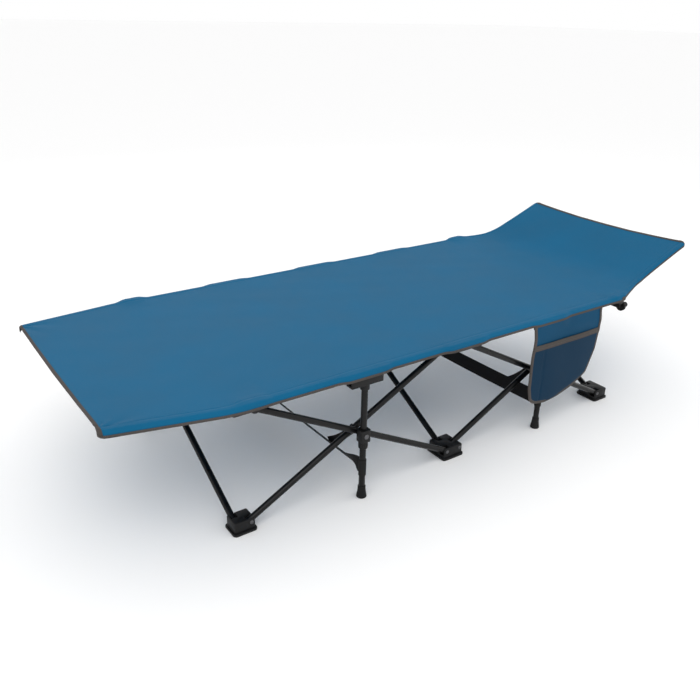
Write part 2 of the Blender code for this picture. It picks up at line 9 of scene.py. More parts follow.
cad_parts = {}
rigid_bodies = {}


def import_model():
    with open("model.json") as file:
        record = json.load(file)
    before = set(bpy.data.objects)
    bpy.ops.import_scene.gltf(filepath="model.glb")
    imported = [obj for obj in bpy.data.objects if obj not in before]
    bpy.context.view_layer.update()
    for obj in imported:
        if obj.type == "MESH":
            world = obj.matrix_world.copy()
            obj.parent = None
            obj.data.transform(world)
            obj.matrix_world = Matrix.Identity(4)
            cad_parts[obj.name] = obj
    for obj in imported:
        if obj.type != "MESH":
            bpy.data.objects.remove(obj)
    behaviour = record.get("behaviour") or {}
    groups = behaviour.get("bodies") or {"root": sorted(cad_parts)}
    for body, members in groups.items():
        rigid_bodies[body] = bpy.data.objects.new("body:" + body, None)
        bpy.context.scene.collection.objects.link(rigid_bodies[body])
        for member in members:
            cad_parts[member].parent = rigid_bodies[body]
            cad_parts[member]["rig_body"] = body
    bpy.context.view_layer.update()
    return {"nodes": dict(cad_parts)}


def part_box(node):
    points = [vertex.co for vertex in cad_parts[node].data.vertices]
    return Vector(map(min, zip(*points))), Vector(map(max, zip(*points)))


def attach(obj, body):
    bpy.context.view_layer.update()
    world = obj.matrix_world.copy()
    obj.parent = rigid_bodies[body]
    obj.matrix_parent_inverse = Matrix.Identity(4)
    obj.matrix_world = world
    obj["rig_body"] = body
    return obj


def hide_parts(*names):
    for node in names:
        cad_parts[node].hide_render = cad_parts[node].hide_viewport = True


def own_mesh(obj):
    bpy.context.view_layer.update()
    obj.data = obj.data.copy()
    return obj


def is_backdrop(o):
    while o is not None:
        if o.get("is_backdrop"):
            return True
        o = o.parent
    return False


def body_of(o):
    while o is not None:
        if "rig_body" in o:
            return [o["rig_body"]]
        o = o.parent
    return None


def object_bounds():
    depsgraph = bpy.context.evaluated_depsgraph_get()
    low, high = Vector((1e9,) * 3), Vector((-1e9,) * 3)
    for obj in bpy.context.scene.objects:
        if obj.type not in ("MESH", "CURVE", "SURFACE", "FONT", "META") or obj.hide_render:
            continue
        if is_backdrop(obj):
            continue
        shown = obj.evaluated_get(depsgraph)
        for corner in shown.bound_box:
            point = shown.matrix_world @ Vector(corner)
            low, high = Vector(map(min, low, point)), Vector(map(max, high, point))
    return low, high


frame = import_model()


# ---- The studio ----
# A pale floor that runs on into a white surround, one large soft light over the foot end and two weaker ones.
# The viewpoint is off the near corner of the foot end, about 1.1 m above the ground.
CAMERA_PLACE = Vector((-1.2804, -1.6029, 1.1064))
CAMERA_YAW, CAMERA_PITCH, CAMERA_ROLL = (math.radians(a) for a in (35.4967, 24.3922, 1.3353))
CAMERA_LENS = 38.551
FLOOR_HALF = 60.0
FLOOR_DROP = 0.0005
SOFT_LIGHTS = {  # place, what it faces, side of the square, watts
    "key_light": ((-1.7, -2.3, 3.0), (0.0, 0.0, 0.3), 2.6, 34),
    "side_light": ((2.9, -1.6, 2.2), (0.1, 0.0, 0.3), 2.2, 9),
    "back_light": ((0.4, 3.0, 2.4), (0.0, 0.0, 0.3), 2.4, 12),
}


def link(obj):
    bpy.context.scene.collection.objects.link(obj)
    return obj


def material_of(name):
    """A new material with its node tree, its links' maker, and its shader."""
    finish = bpy.data.materials.new(name)
    finish.use_nodes = True
    return finish, finish.node_tree.nodes, finish.node_tree.links, finish.node_tree.nodes["Principled BSDF"]


ahead = Vector((math.sin(CAMERA_YAW) * math.cos(CAMERA_PITCH),
                math.cos(CAMERA_YAW) * math.cos(CAMERA_PITCH), -math.sin(CAMERA_PITCH)))
right = Vector((math.cos(CAMERA_YAW), -math.sin(CAMERA_YAW), 0))
right = math.cos(CAMERA_ROLL) * right + math.sin(CAMERA_ROLL) * right.cross(ahead)
camera = link(bpy.data.objects.new("camera", bpy.data.cameras.new("camera")))
camera.data.lens = CAMERA_LENS
camera.matrix_world = (Matrix.Translation(CAMERA_PLACE)
                       @ Matrix((right, right.cross(ahead), -ahead)).transposed().to_4x4())
bpy.context.scene.camera = camera

for light_name, (place, aim, side, watts) in SOFT_LIGHTS.items():
    light = link(bpy.data.objects.new(light_name, bpy.data.lights.new(light_name, "AREA")))
    light.data.shape, light.data.size, light.data.energy = "SQUARE", side, watts
    light.location = place
    light.rotation_euler = (Vector(aim) - Vector(place)).to_track_quat("-Z", "Y").to_euler()

world = bpy.data.worlds.new("white_surround")
world.use_nodes = True
world.node_tree.nodes["Background"].inputs["Color"].default_value = (1.0, 1.0, 1.0, 1.0)
world.node_tree.nodes["Background"].inputs["Strength"].default_value = 1.0
bpy.context.scene.world = world
bpy.context.scene.view_settings.view_transform = "Standard"

floor_mesh = bpy.data.meshes.new("floor")
floor_mesh.from_pydata([(x * FLOOR_HALF, y * FLOOR_HALF, -FLOOR_DROP)
                        for x, y in ((-1, -1), (1, -1), (1, 1), (-1, 1))], [], [(0, 1, 2, 3)])
floor = link(bpy.data.objects.new("floor", floor_mesh))
paper, _, _, paper_shader = material_of("pale_paper")
paper_shader.inputs["Base Color"].default_value = (0.97, 0.97, 0.97, 1)
paper_shader.inputs["Roughness"].default_value = 0.9
floor_mesh.materials.append(paper)
floor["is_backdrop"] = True


# ---- Ground feet ----
# Six injection-moulded nylon blocks that stand on the ground and hold the lower ends of the crossing tubes.
# Each is one moulding, open at the top, with rounded edges, on a wider base plate. The tubes turn on rivets
# through its walls.
NYLON = (0.0040, 0.0040, 0.0044)
MOULDED_EDGE = 0.0009
SAME_FACE = math.radians(1.5)
STATIONS = (-0.660, -0.032, 0.596)
SIDES = {"a": -1, "b": 1}
PIVOT_OFFSET = 0.022
FOOT_PIVOT_Z = 0.024
RIVET_HEAD = 0.0052
RIVET_STEEL = (0.10, 0.10, 0.105)
PLATE_SPREAD, PLATE_CORNER, PLATE_TALL, PLATE_EDGE = 0.0045, 0.009, 0.006, 0.0012
WELD = 0.00002


def grain(nodes, links, shader, size, depth, low, high):
    """A fine moulded or sprayed surface: bump of this grain size, and roughness between low and high."""
    place = nodes.new("ShaderNodeTexCoord")
    speck = nodes.new("ShaderNodeTexNoise")
    speck.inputs["Scale"].default_value = 1 / size
    speck.inputs["Detail"].default_value = 3
    bump = nodes.new("ShaderNodeBump")
    bump.inputs["Strength"].default_value = 0.35
    bump.inputs["Distance"].default_value = depth
    cloud = nodes.new("ShaderNodeTexNoise")
    cloud.inputs["Scale"].default_value = 35
    cloud.inputs["Detail"].default_value = 4
    span = nodes.new("ShaderNodeMapRange")
    span.inputs["From Min"].default_value, span.inputs["From Max"].default_value = 0.3, 0.7
    span.inputs["To Min"].default_value, span.inputs["To Max"].default_value = low, high
    for noise in (speck, cloud):
        links.new(place.outputs["Object"], noise.inputs["Vector"])
    links.new(speck.outputs["Fac"], bump.inputs["Height"])
    links.new(bump.outputs["Normal"], shader.inputs["Normal"])
    links.new(cloud.outputs["Fac"], span.inputs["Value"])
    links.new(span.outputs["Result"], shader.inputs["Roughness"])
    return cloud


def tinted(nodes, links, shader, cloud, colour, lift):
    """The colour drifts a little between itself and a lighter one, as handled surfaces do."""
    ramp = nodes.new("ShaderNodeValToRGB")
    ramp.color_ramp.elements[0].position, ramp.color_ramp.elements[1].position = 0.35, 0.75
    ramp.color_ramp.elements[0].color = (*colour, 1)
    ramp.color_ramp.elements[1].color = (*(min(1.0, c * lift + 0.002) for c in colour), 1)
    links.new(cloud.outputs["Fac"], ramp.inputs["Fac"])
    links.new(ramp.outputs["Color"], shader.inputs["Base Color"])


def black_nylon():
    finish, nodes, links, shader = material_of("black_nylon")
    tinted(nodes, links, shader, grain(nodes, links, shader, 0.0007, 0.00006, 0.42, 0.6), NYLON, 1.7)
    shader.inputs["Specular IOR Level"].default_value = 0.24
    return finish


def zinc_rivet():
    finish, nodes, links, shader = material_of("blackened_rivet")
    tinted(nodes, links, shader, grain(nodes, links, shader, 0.0009, 0.00003, 0.28, 0.5), RIVET_STEEL, 1.6)
    shader.inputs["Metallic"].default_value = 0.9
    return finish


def attached(obj, body, slot, *nodes):
    """obj rides on body and stands for these CAD nodes; slot is not used."""
    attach(obj, body)
    if nodes:
        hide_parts(*nodes)
    return obj


def applied(obj):
    """obj with its modifiers made part of its mesh."""
    evaluated = obj.evaluated_get(bpy.context.evaluated_depsgraph_get())
    mesh = bpy.data.meshes.new_from_object(evaluated)
    obj.modifiers.clear()
    obj.data = mesh
    return obj


def object_of(name, bm):
    """The shape in bm as an object of this name; bm is freed."""
    mesh = bpy.data.meshes.new(name)
    bm.to_mesh(mesh)
    bm.free()
    return link(bpy.data.objects.new(name, mesh))


def rounded(obj, width, corner, crease):
    """obj with edges over corner degrees bevelled, and shaded smooth up to crease degrees."""
    edges = obj.modifiers.new("edges", "BEVEL")
    edges.width, edges.segments, edges.limit_method = width, 2, "ANGLE"
    edges.angle_limit = math.radians(corner)
    applied(obj)
    obj.data.shade_smooth()
    obj.data.set_sharp_from_angle(angle=math.radians(crease))
    return obj


def moulding(node, name, finish, slot):
    """The node's solid as a moulding, with every sharp edge rounded."""
    bm = bmesh.new()
    bm.from_mesh(frame["nodes"][node].data)
    bmesh.ops.remove_doubles(bm, verts=bm.verts, dist=WELD)
    bmesh.ops.dissolve_limit(bm, angle_limit=SAME_FACE, verts=bm.verts, edges=bm.edges)
    obj = rounded(object_of(name, bm), MOULDED_EDGE, 38, 36)
    obj.data.materials.clear()
    obj.data.materials.append(finish)
    return attached(obj, body_of(frame["nodes"][node])[0], slot, node)


def new_tree(name, inputs):
    """An empty node tree with these named inputs, its Geometry output, and its two end nodes."""
    tree = bpy.data.node_groups.new(name, "GeometryNodeTree")
    tree.interface.new_socket("Points", in_out="INPUT", socket_type="NodeSocketGeometry")
    for label, kind in inputs.items():
        tree.interface.new_socket(label, in_out="INPUT", socket_type=kind)
    tree.interface.new_socket("Result", in_out="OUTPUT", socket_type="NodeSocketGeometry")
    return tree, tree.nodes.new("NodeGroupInput"), tree.nodes.new("NodeGroupOutput")


def finish_tree(tree, given, end, last):
    """Realize Instances, Set Shade Smooth and Set Material after the socket last."""
    real = tree.nodes.new("GeometryNodeRealizeInstances")
    smooth = tree.nodes.new("GeometryNodeSetShadeSmooth")
    paint = tree.nodes.new("GeometryNodeSetMaterial")
    tree.links.new(last, real.inputs["Geometry"])
    tree.links.new(real.outputs["Geometry"], smooth.inputs["Geometry"])
    tree.links.new(smooth.outputs["Geometry"], paint.inputs["Geometry"])
    tree.links.new(given.outputs["Finish"], paint.inputs["Material"])
    tree.links.new(paint.outputs["Geometry"], end.inputs["Result"])
    return tree


def grown(name, base, tree, **inputs):
    """The plain mesh that a node tree makes from the mesh base, as an object."""
    host = link(bpy.data.objects.new(name, base))
    step = host.modifiers.new("grow", "NODES")
    step.node_group = tree
    for item in tree.interface.items_tree:
        if item.in_out == "INPUT" and item.name in inputs:
            step[item.identifier] = inputs[item.name]
    return applied(host)


def base_plate(name, low, high, spread, corner, tall, finish):
    """A flat plate with round corners under a block, wider than it by spread all round."""
    outline = []
    for sx, sy, first in ((1, 1, 0), (-1, 1, 90), (-1, -1, 180), (1, -1, 270)):
        cx = (high[0] if sx > 0 else low[0]) + sx * (spread - corner)
        cy = (high[1] if sy > 0 else low[1]) + sy * (spread - corner)
        outline += [(cx + corner * math.cos(math.radians(first + a)), cy + corner * math.sin(math.radians(first + a)))
                    for a in range(0, 91, 15)]
    bm = bmesh.new()
    rings = [[bm.verts.new((x, y, z)) for x, y in outline] for z in (low[2], low[2] + tall)]
    bm.faces.new(rings[0][::-1])
    bm.faces.new(rings[1])
    for k in range(len(outline)):
        n = (k + 1) % len(outline)
        bm.faces.new((rings[0][k], rings[0][n], rings[1][n], rings[1][k]))
    obj = rounded(object_of(name, bm), PLATE_EDGE, 50, 40)
    obj.data.materials.append(finish)
    return obj


def rivet_tree():
    """A domed head on every point, facing along the point's own direction."""
    tree, given, end = new_tree("rivet_heads", {"Head Radius": "NodeSocketFloat", "Dome": "NodeSocketVector",
                                                "Finish": "NodeSocketMaterial"})
    dome = tree.nodes.new("GeometryNodeMeshUVSphere")
    dome.inputs["Segments"].default_value, dome.inputs["Rings"].default_value = 20, 10
    flat = tree.nodes.new("GeometryNodeTransform")
    facing = tree.nodes.new("GeometryNodeInputNamedAttribute")
    facing.data_type = "FLOAT_VECTOR"
    facing.inputs["Name"].default_value = "facing"
    turn = tree.nodes.new("FunctionNodeAlignRotationToVector")
    turn.axis = "Z"
    put = tree.nodes.new("GeometryNodeInstanceOnPoints")
    tree.links.new(given.outputs["Head Radius"], dome.inputs["Radius"])
    tree.links.new(dome.outputs["Mesh"], flat.inputs["Geometry"])
    tree.links.new(given.outputs["Dome"], flat.inputs["Scale"])
    tree.links.new(facing.outputs["Attribute"], turn.inputs["Vector"])
    tree.links.new(given.outputs["Points"], put.inputs["Points"])
    tree.links.new(flat.outputs["Geometry"], put.inputs["Instance"])
    tree.links.new(turn.outputs["Rotation"], put.inputs["Rotation"])
    return finish_tree(tree, given, end, put.outputs["Instances"])


def rivets(name, body, places, radius=RIVET_HEAD):
    """Rivet heads at places, each a pair of point and direction."""
    base = bpy.data.meshes.new(name)
    base.from_pydata([point for point, _ in places], [], [])
    base.attributes.new("facing", "FLOAT_VECTOR", "POINT")
    for value, (_, way) in zip(base.attributes["facing"].data, places):
        value.vector = way
    obj = grown(name, base, RIVETS, **{"Head Radius": radius, "Dome": (1.0, 1.0, 0.42), "Finish": RIVET_FINISH})
    return attached(obj, body, "frame_steel")


NYLON_FINISH = black_nylon()
RIVET_FINISH = zinc_rivet()
RIVETS = rivet_tree()
for side, s in SIDES.items():
    for i, x in enumerate(STATIONS):
        node = f"ground_foot_{side}{i}"
        moulding(node, f"foot_block_{side}{i}", NYLON_FINISH, "black_plastic")
        low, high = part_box(node)
        face = low[1] if s < 0 else high[1]
        heads = [((x + way * PIVOT_OFFSET, face, FOOT_PIVOT_Z), (0, s, 0)) for way in (-1, 1) if 0 <= i + way <= 2]
        rivets(f"foot_rivets_{side}{i}", node, heads)
        attached(base_plate(f"foot_plate_{side}{i}", low, high, PLATE_SPREAD, PLATE_CORNER, PLATE_TALL, NYLON_FINISH),
                 node, "black_plastic")


# ---- Crossing tubes ----
# Fourteen 16 mm steel tubes, black powder coated: eight cross in pairs along the sides, six across the stations.
# They turn on rivets in the feet and hubs, and a bolt through each crossing holds the pairs together.
TUBE_RADIUS = 0.008
TUBE_AROUND = 28
POWDER_BLACK = (0.0022, 0.0022, 0.0025)


def powder_coat():
    finish, nodes, links, shader = material_of("black_powder_coat")
    tinted(nodes, links, shader, grain(nodes, links, shader, 0.0011, 0.00002, 0.24, 0.36), POWDER_BLACK, 1.5)
    shader.inputs["Specular IOR Level"].default_value = 0.13
    shader.inputs["Coat Weight"].default_value = 0.2
    shader.inputs["Coat Roughness"].default_value = 0.08
    return finish


def tube_tree():
    """A round tube with closed ends along a line, bent round at the line's corners."""
    tree, given, end = new_tree("round_tube", {"Radius": "NodeSocketFloat", "Bend Radius": "NodeSocketFloat",
                                               "Finish": "NodeSocketMaterial"})
    line = tree.nodes.new("GeometryNodeMeshToCurve")
    bend = tree.nodes.new("GeometryNodeFilletCurve")
    bend.inputs["Limit Radius"].default_value = True
    bend.mode = "POLY"
    bend.inputs["Count"].default_value = 10
    ring = tree.nodes.new("GeometryNodeCurvePrimitiveCircle")
    ring.inputs["Resolution"].default_value = TUBE_AROUND
    skin = tree.nodes.new("GeometryNodeCurveToMesh")
    skin.inputs["Fill Caps"].default_value = True
    tree.links.new(given.outputs["Points"], line.inputs["Mesh"])
    tree.links.new(line.outputs["Curve"], bend.inputs["Curve"])
    tree.links.new(given.outputs["Bend Radius"], bend.inputs["Radius"])
    tree.links.new(given.outputs["Radius"], ring.inputs["Radius"])
    tree.links.new(bend.outputs["Curve"], skin.inputs["Curve"])
    tree.links.new(ring.outputs["Curve"], skin.inputs["Profile Curve"])
    return finish_tree(tree, given, end, skin.outputs["Mesh"])


def tube(name, points, finish, radius=TUBE_RADIUS, bend=0.03):
    base = bpy.data.meshes.new(name)
    base.from_pydata(points, [(k, k + 1) for k in range(len(points) - 1)], [])
    obj = grown(name, base, TUBES, **{"Radius": radius, "Bend Radius": bend, "Finish": finish})
    obj.data.set_sharp_from_angle(angle=math.radians(50))
    return obj


def axis_ends(node):
    """Both ends of a straight tube's axis."""
    points = np.unique(np.round([v.co for v in frame["nodes"][node].data.vertices], 5), axis=0)
    along = np.linalg.svd(points - points.mean(axis=0), full_matrices=False)[2][0]
    reach = points @ along
    return [points[np.abs(reach - last) < 0.0002].mean(axis=0) for last in (reach.min(), reach.max())]


TUBES = tube_tree()
POWDER_FINISH = powder_coat()
ARMS = [f"{kind}_{side}{i}" for kind, count in (("rising_arm", 2), ("falling_arm", 2), ("cross_arm", 3))
        for side in SIDES for i in range(count)]
for node in ARMS:
    attached(tube(f"tube_{node}", axis_ends(node), POWDER_FINISH),
             body_of(frame["nodes"][node])[0], "frame_steel", node)
for i in range(3):
    moulding(f"cross_pivot_{i}", f"cross_bolt_{i}", NYLON_FINISH, "black_plastic")


# ---- Hubs ----
# Six nylon hubs under the side rails: the crossing tubes hang in slots below, the rails are pinned outside.
# The two at the head also carry a flange with a capped stub, which the head tubes rest over.
RAIL_Y, RAIL_Z = 0.356, 0.342
RAIL_PIN_OFFSET = 0.022
HINGE_X = 0.582
for side, s in SIDES.items():
    for i, x in enumerate(STATIONS):
        node = f"hub_{side}{i}"
        moulding(node, f"hub_block_{side}{i}", NYLON_FINISH, "black_plastic")
        low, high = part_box(node)
        face = low[1] if s < 0 else high[1]
        pins = {0: [x + RAIL_PIN_OFFSET], 1: [x - RAIL_PIN_OFFSET, x + RAIL_PIN_OFFSET], 2: [HINGE_X]}[i]
        rivets(f"hub_rivets_{side}{i}", node, [((pin, face, RAIL_Z), (0, s, 0)) for pin in pins])


# ---- Sliders and legs ----
# Two more legs a side run up through the crossings: a nylon slider on the crossing's bolt guides each tube.
# A ribbed nylon collar under the slider stops it, a channel on top takes the rails, and the foot is rubber.
LEG_X = (-0.346, 0.282)
RUBBER = (0.0055, 0.0055, 0.0055)
COLLAR_RIBS = 18
COLLAR_TOP, COLLAR_HEIGHT, COLLAR_RADIUS = 0.161, 0.020, 0.0112
COLLAR_END_RADIUS, COLLAR_EDGE = 0.0098, 0.0015
RIB_SIZE = (0.0007, 0.0007, 0.0075)
SLIDER_BOLT_RADIUS = 0.0065
# The cap's side below its neck: radius, height.
CAP_SIDE = [(0.0118, 0.0), (0.0129, 0.0012), (0.0130, 0.004), (0.0124, 0.0062), (0.0122, 0.0085), (0.0114, 0.0135),
            (0.0107, 0.0150), (0.0109, 0.0165), (0.0103, 0.0210), (0.0098, 0.0225), (0.0101, 0.0240)]
CAP_NECK_RADIUS, CAP_TOP_RADIUS, CAP_LIP, CAP_GRIP = 0.0099, 0.0092, 0.0015, 0.0002


def rubber():
    finish, nodes, links, shader = material_of("black_rubber")
    tinted(nodes, links, shader, grain(nodes, links, shader, 0.0012, 0.0001, 0.65, 0.85), RUBBER, 2.0)
    shader.inputs["Specular IOR Level"].default_value = 0.2
    return finish


def turned(name, profile, centre, finish, around=40):
    """A turned shape round the upright line through centre; profile is (radius, height) from its bottom up."""
    bm = bmesh.new()
    rings = [[bm.verts.new((centre[0] + r * math.cos(2 * math.pi * k / around),
                            centre[1] + r * math.sin(2 * math.pi * k / around), z)) for k in range(around)]
             for r, z in profile]
    for lower, upper in zip(rings, rings[1:]):
        for k in range(around):
            n = (k + 1) % around
            bm.faces.new((lower[k], lower[n], upper[n], upper[k]))
    bm.faces.new(rings[0][::-1])
    bm.faces.new(rings[-1])
    obj = object_of(name, bm)
    obj.data.shade_smooth()
    obj.data.set_sharp_from_angle(angle=math.radians(42))
    obj.data.materials.append(finish)
    return obj


def rib_tree():
    """Upright rounded ribs, evenly round a ring."""
    tree, given, end = new_tree("ring_of_ribs", {"Ribs": "NodeSocketInt", "Ring Radius": "NodeSocketFloat",
                                                 "Rib Size": "NodeSocketVector", "Finish": "NodeSocketMaterial"})
    ring = tree.nodes.new("GeometryNodeMeshCircle")
    rib = tree.nodes.new("GeometryNodeMeshUVSphere")
    rib.inputs["Segments"].default_value, rib.inputs["Rings"].default_value = 8, 6
    rib.inputs["Radius"].default_value = 1
    size = tree.nodes.new("GeometryNodeTransform")
    put = tree.nodes.new("GeometryNodeInstanceOnPoints")
    stand = tree.nodes.new("GeometryNodeInstanceOnPoints")
    for source, sink in ((given.outputs["Ribs"], ring.inputs["Vertices"]),
                         (given.outputs["Ring Radius"], ring.inputs["Radius"]),
                         (given.outputs["Rib Size"], size.inputs["Scale"]),
                         (rib.outputs["Mesh"], size.inputs["Geometry"]),
                         (ring.outputs["Mesh"], put.inputs["Points"]),
                         (size.outputs["Geometry"], put.inputs["Instance"]),
                         (given.outputs["Points"], stand.inputs["Points"]),
                         (put.outputs["Instances"], stand.inputs["Instance"])):
        tree.links.new(source, sink)
    return finish_tree(tree, given, end, stand.outputs["Instances"])


RUBBER_FINISH = rubber()
RIBS = rib_tree()
for side, s in SIDES.items():
    for i, x in enumerate(LEG_X):
        body = f"leg_{side}{i}"
        y = s * RAIL_Y
        low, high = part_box(body)
        attached(tube(f"leg_tube_{side}{i}", [(x, y, low[2]), (x, y, high[2])], POWDER_FINISH),
                 body, "frame_steel", body)
        bottom = COLLAR_TOP - COLLAR_HEIGHT
        collar = turned(f"leg_collar_{side}{i}",
                        [(COLLAR_END_RADIUS, bottom), (COLLAR_RADIUS, bottom + COLLAR_EDGE),
                         (COLLAR_RADIUS, COLLAR_TOP - COLLAR_EDGE), (COLLAR_END_RADIUS, COLLAR_TOP)],
                        (x, y), NYLON_FINISH)
        attached(collar, body, "black_plastic")
        spot = bpy.data.meshes.new("spot")
        spot.from_pydata([(x, y, COLLAR_TOP - COLLAR_HEIGHT / 2)], [], [])
        ribs = grown(f"collar_ribs_{side}{i}", spot, RIBS,
                     **{"Ribs": COLLAR_RIBS, "Ring Radius": COLLAR_RADIUS, "Rib Size": RIB_SIZE,
                        "Finish": NYLON_FINISH})
        attached(ribs, body, "black_plastic")
        moulding(f"slider_{side}{i}", f"slider_block_{side}{i}", NYLON_FINISH, "black_plastic")
        slider_low, slider_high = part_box(f"slider_{side}{i}")
        face = slider_low[1] if s < 0 else slider_high[1]
        middle = (slider_low[2] + slider_high[2]) / 2
        rivets(f"slider_bolt_{side}{i}", f"slider_{side}{i}", [((x, face, middle), (0, s, 0))],
               SLIDER_BOLT_RADIUS)
        moulding(f"leg_bracket_{side}{i}", f"rail_channel_{side}{i}", NYLON_FINISH, "black_plastic")
        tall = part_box(f"rubber_foot_{side}{i}")[1][2]
        profile = CAP_SIDE + [(CAP_NECK_RADIUS, tall - CAP_LIP), (CAP_TOP_RADIUS, tall),
                              (TUBE_RADIUS - CAP_GRIP, tall)]
        attached(turned(f"rubber_cap_{side}{i}", profile, (x, y), RUBBER_FINISH), body, "leg_rubber",
                 f"rubber_foot_{side}{i}")


# ---- Side rails, head tubes and the headrest's hinges ----
# The fabric's frame: four rails a side, pinned to the hubs, and a bent tube a side that holds up the head end.
# Two riveted steel plates a side make the headrest's hinge. The rails and bars are the same 16 mm black tube.
CORNER_X, CORNER_Y = 0.938, 0.310
RAIL_BEND_X, FOOT_END_RISE = -0.690, 0.007
RAIL_GAP, LAST_GAP = 0.040, 0.042       # from a leg to the ends of its rails
MIDDLE_GAP, HINGE_GAP = 0.015, 0.0136   # from the middle hub and from the hinge's pin to a rail's end
HEAD_PATH = [(0.596, 0.356, 0.3431), (0.606, 0.356, 0.3438), (0.715, 0.312, 0.352), (0.938, 0.308, 0.437)]
PLATE_RADIUS, PLATE_HALF = 0.013, 0.0058
INNER_REACH, OUTER_REACH = 0.001, 0.026
INNER_PLATE_Y, OUTER_PLATE_Y = (0.3500, 0.3557), (0.3563, 0.3623)
HEAD_TUBE_TILT = math.atan2(0.010, 0.133)
HINGE_EDGE = 0.0008


def hinge_plate(name, near, far, reach, tilt):
    """A round plate on the hinge's pin with a tongue that runs into its tube, between two y values."""
    corner = math.asin(PLATE_HALF / PLATE_RADIUS)
    turns = [corner + (2 * math.pi - 2 * corner) * k / 30 for k in range(31)]
    outline = [(PLATE_RADIUS * math.cos(t), PLATE_RADIUS * math.sin(t)) for t in turns]
    outline += [(reach, -PLATE_HALF), (reach, PLATE_HALF)]
    bm = bmesh.new()
    for y in (near, far):
        bm.verts.ensure_lookup_table()
        bm.faces.new([bm.verts.new((HINGE_X + u * math.cos(tilt), y, RAIL_Z + v + u * math.sin(tilt)))
                      for u, v in outline])
    bm.verts.ensure_lookup_table()
    count = len(outline)
    for k in range(count):
        n = (k + 1) % count
        bm.faces.new((bm.verts[k], bm.verts[n], bm.verts[count + n], bm.verts[count + k]))
    bmesh.ops.recalc_face_normals(bm, faces=bm.faces)
    obj = rounded(object_of(name, bm), HINGE_EDGE, 30, 40)
    obj.data.materials.append(POWDER_FINISH)
    return obj


for side, s in SIDES.items():
    y = s * RAIL_Y
    rails = {
        0: [(-CORNER_X, s * CORNER_Y, RAIL_Z + FOOT_END_RISE), (RAIL_BEND_X, y, RAIL_Z),
            (LEG_X[0] - RAIL_GAP, y, RAIL_Z)],
        1: [(LEG_X[0] + RAIL_GAP, y, RAIL_Z), (STATIONS[1] - MIDDLE_GAP, y, RAIL_Z)],
        2: [(STATIONS[1] + MIDDLE_GAP, y, RAIL_Z), (LEG_X[1] - RAIL_GAP, y, RAIL_Z)],
        3: [(LEG_X[1] + LAST_GAP, y, RAIL_Z), (HINGE_X - HINGE_GAP, y, RAIL_Z)],
    }
    for i, points in rails.items():
        node = f"side_rail_{side}{i}"
        attached(tube(f"rail_tube_{side}{i}", points, POWDER_FINISH), node, "frame_steel", node)
    head = [(px, s * py, pz) for px, py, pz in HEAD_PATH]
    attached(tube(f"head_bar_{side}", head, POWDER_FINISH), f"head_tube_{side}", "frame_steel", f"head_tube_{side}")
    inner = hinge_plate(f"hinge_inner_{side}", *(s * edge for edge in INNER_PLATE_Y), INNER_REACH, 0.0)
    attached(inner, f"side_rail_{side}3", "frame_steel")
    outer = hinge_plate(f"hinge_outer_{side}", *(s * edge for edge in OUTER_PLATE_Y), OUTER_REACH, HEAD_TUBE_TILT)
    attached(outer, f"head_tube_{side}", "frame_steel")


# ---- Cross straps ----
# A 45 mm webbing joins the two legs of each bay. The loops round the legs are plain black rings.
# A narrower webbing runs from it up to the slider on the near side.
WEBBING = (0.0045, 0.0045, 0.0052)
STRAP_WIDE, STRAP_THICK, STRAP_MIDDLE_Z = 0.045, 0.0014, 0.0945
STRAP_SAG = 0.006
STRAP_LEAN = (38, 0)             # degrees the band leans from upright, for each bay
STRAP_TWIST = (0.004, 0.050)     # how far from a leg the lean starts, and is full
STRAP_DROP = (0.008, 0.0)
LOOP_GAP, LOOP_OUT, LOOP_EDGE = 0.0002, 0.0016, 0.0004
TIE_WIDE, TIE_ASIDE, TIE_SAG = 0.020, 0.0016, 0.006
TIES = ((-0.205, 0.085, -0.306, 0.166), (-0.225, 0.098, -0.306, 0.170))  # y and z of its two ends


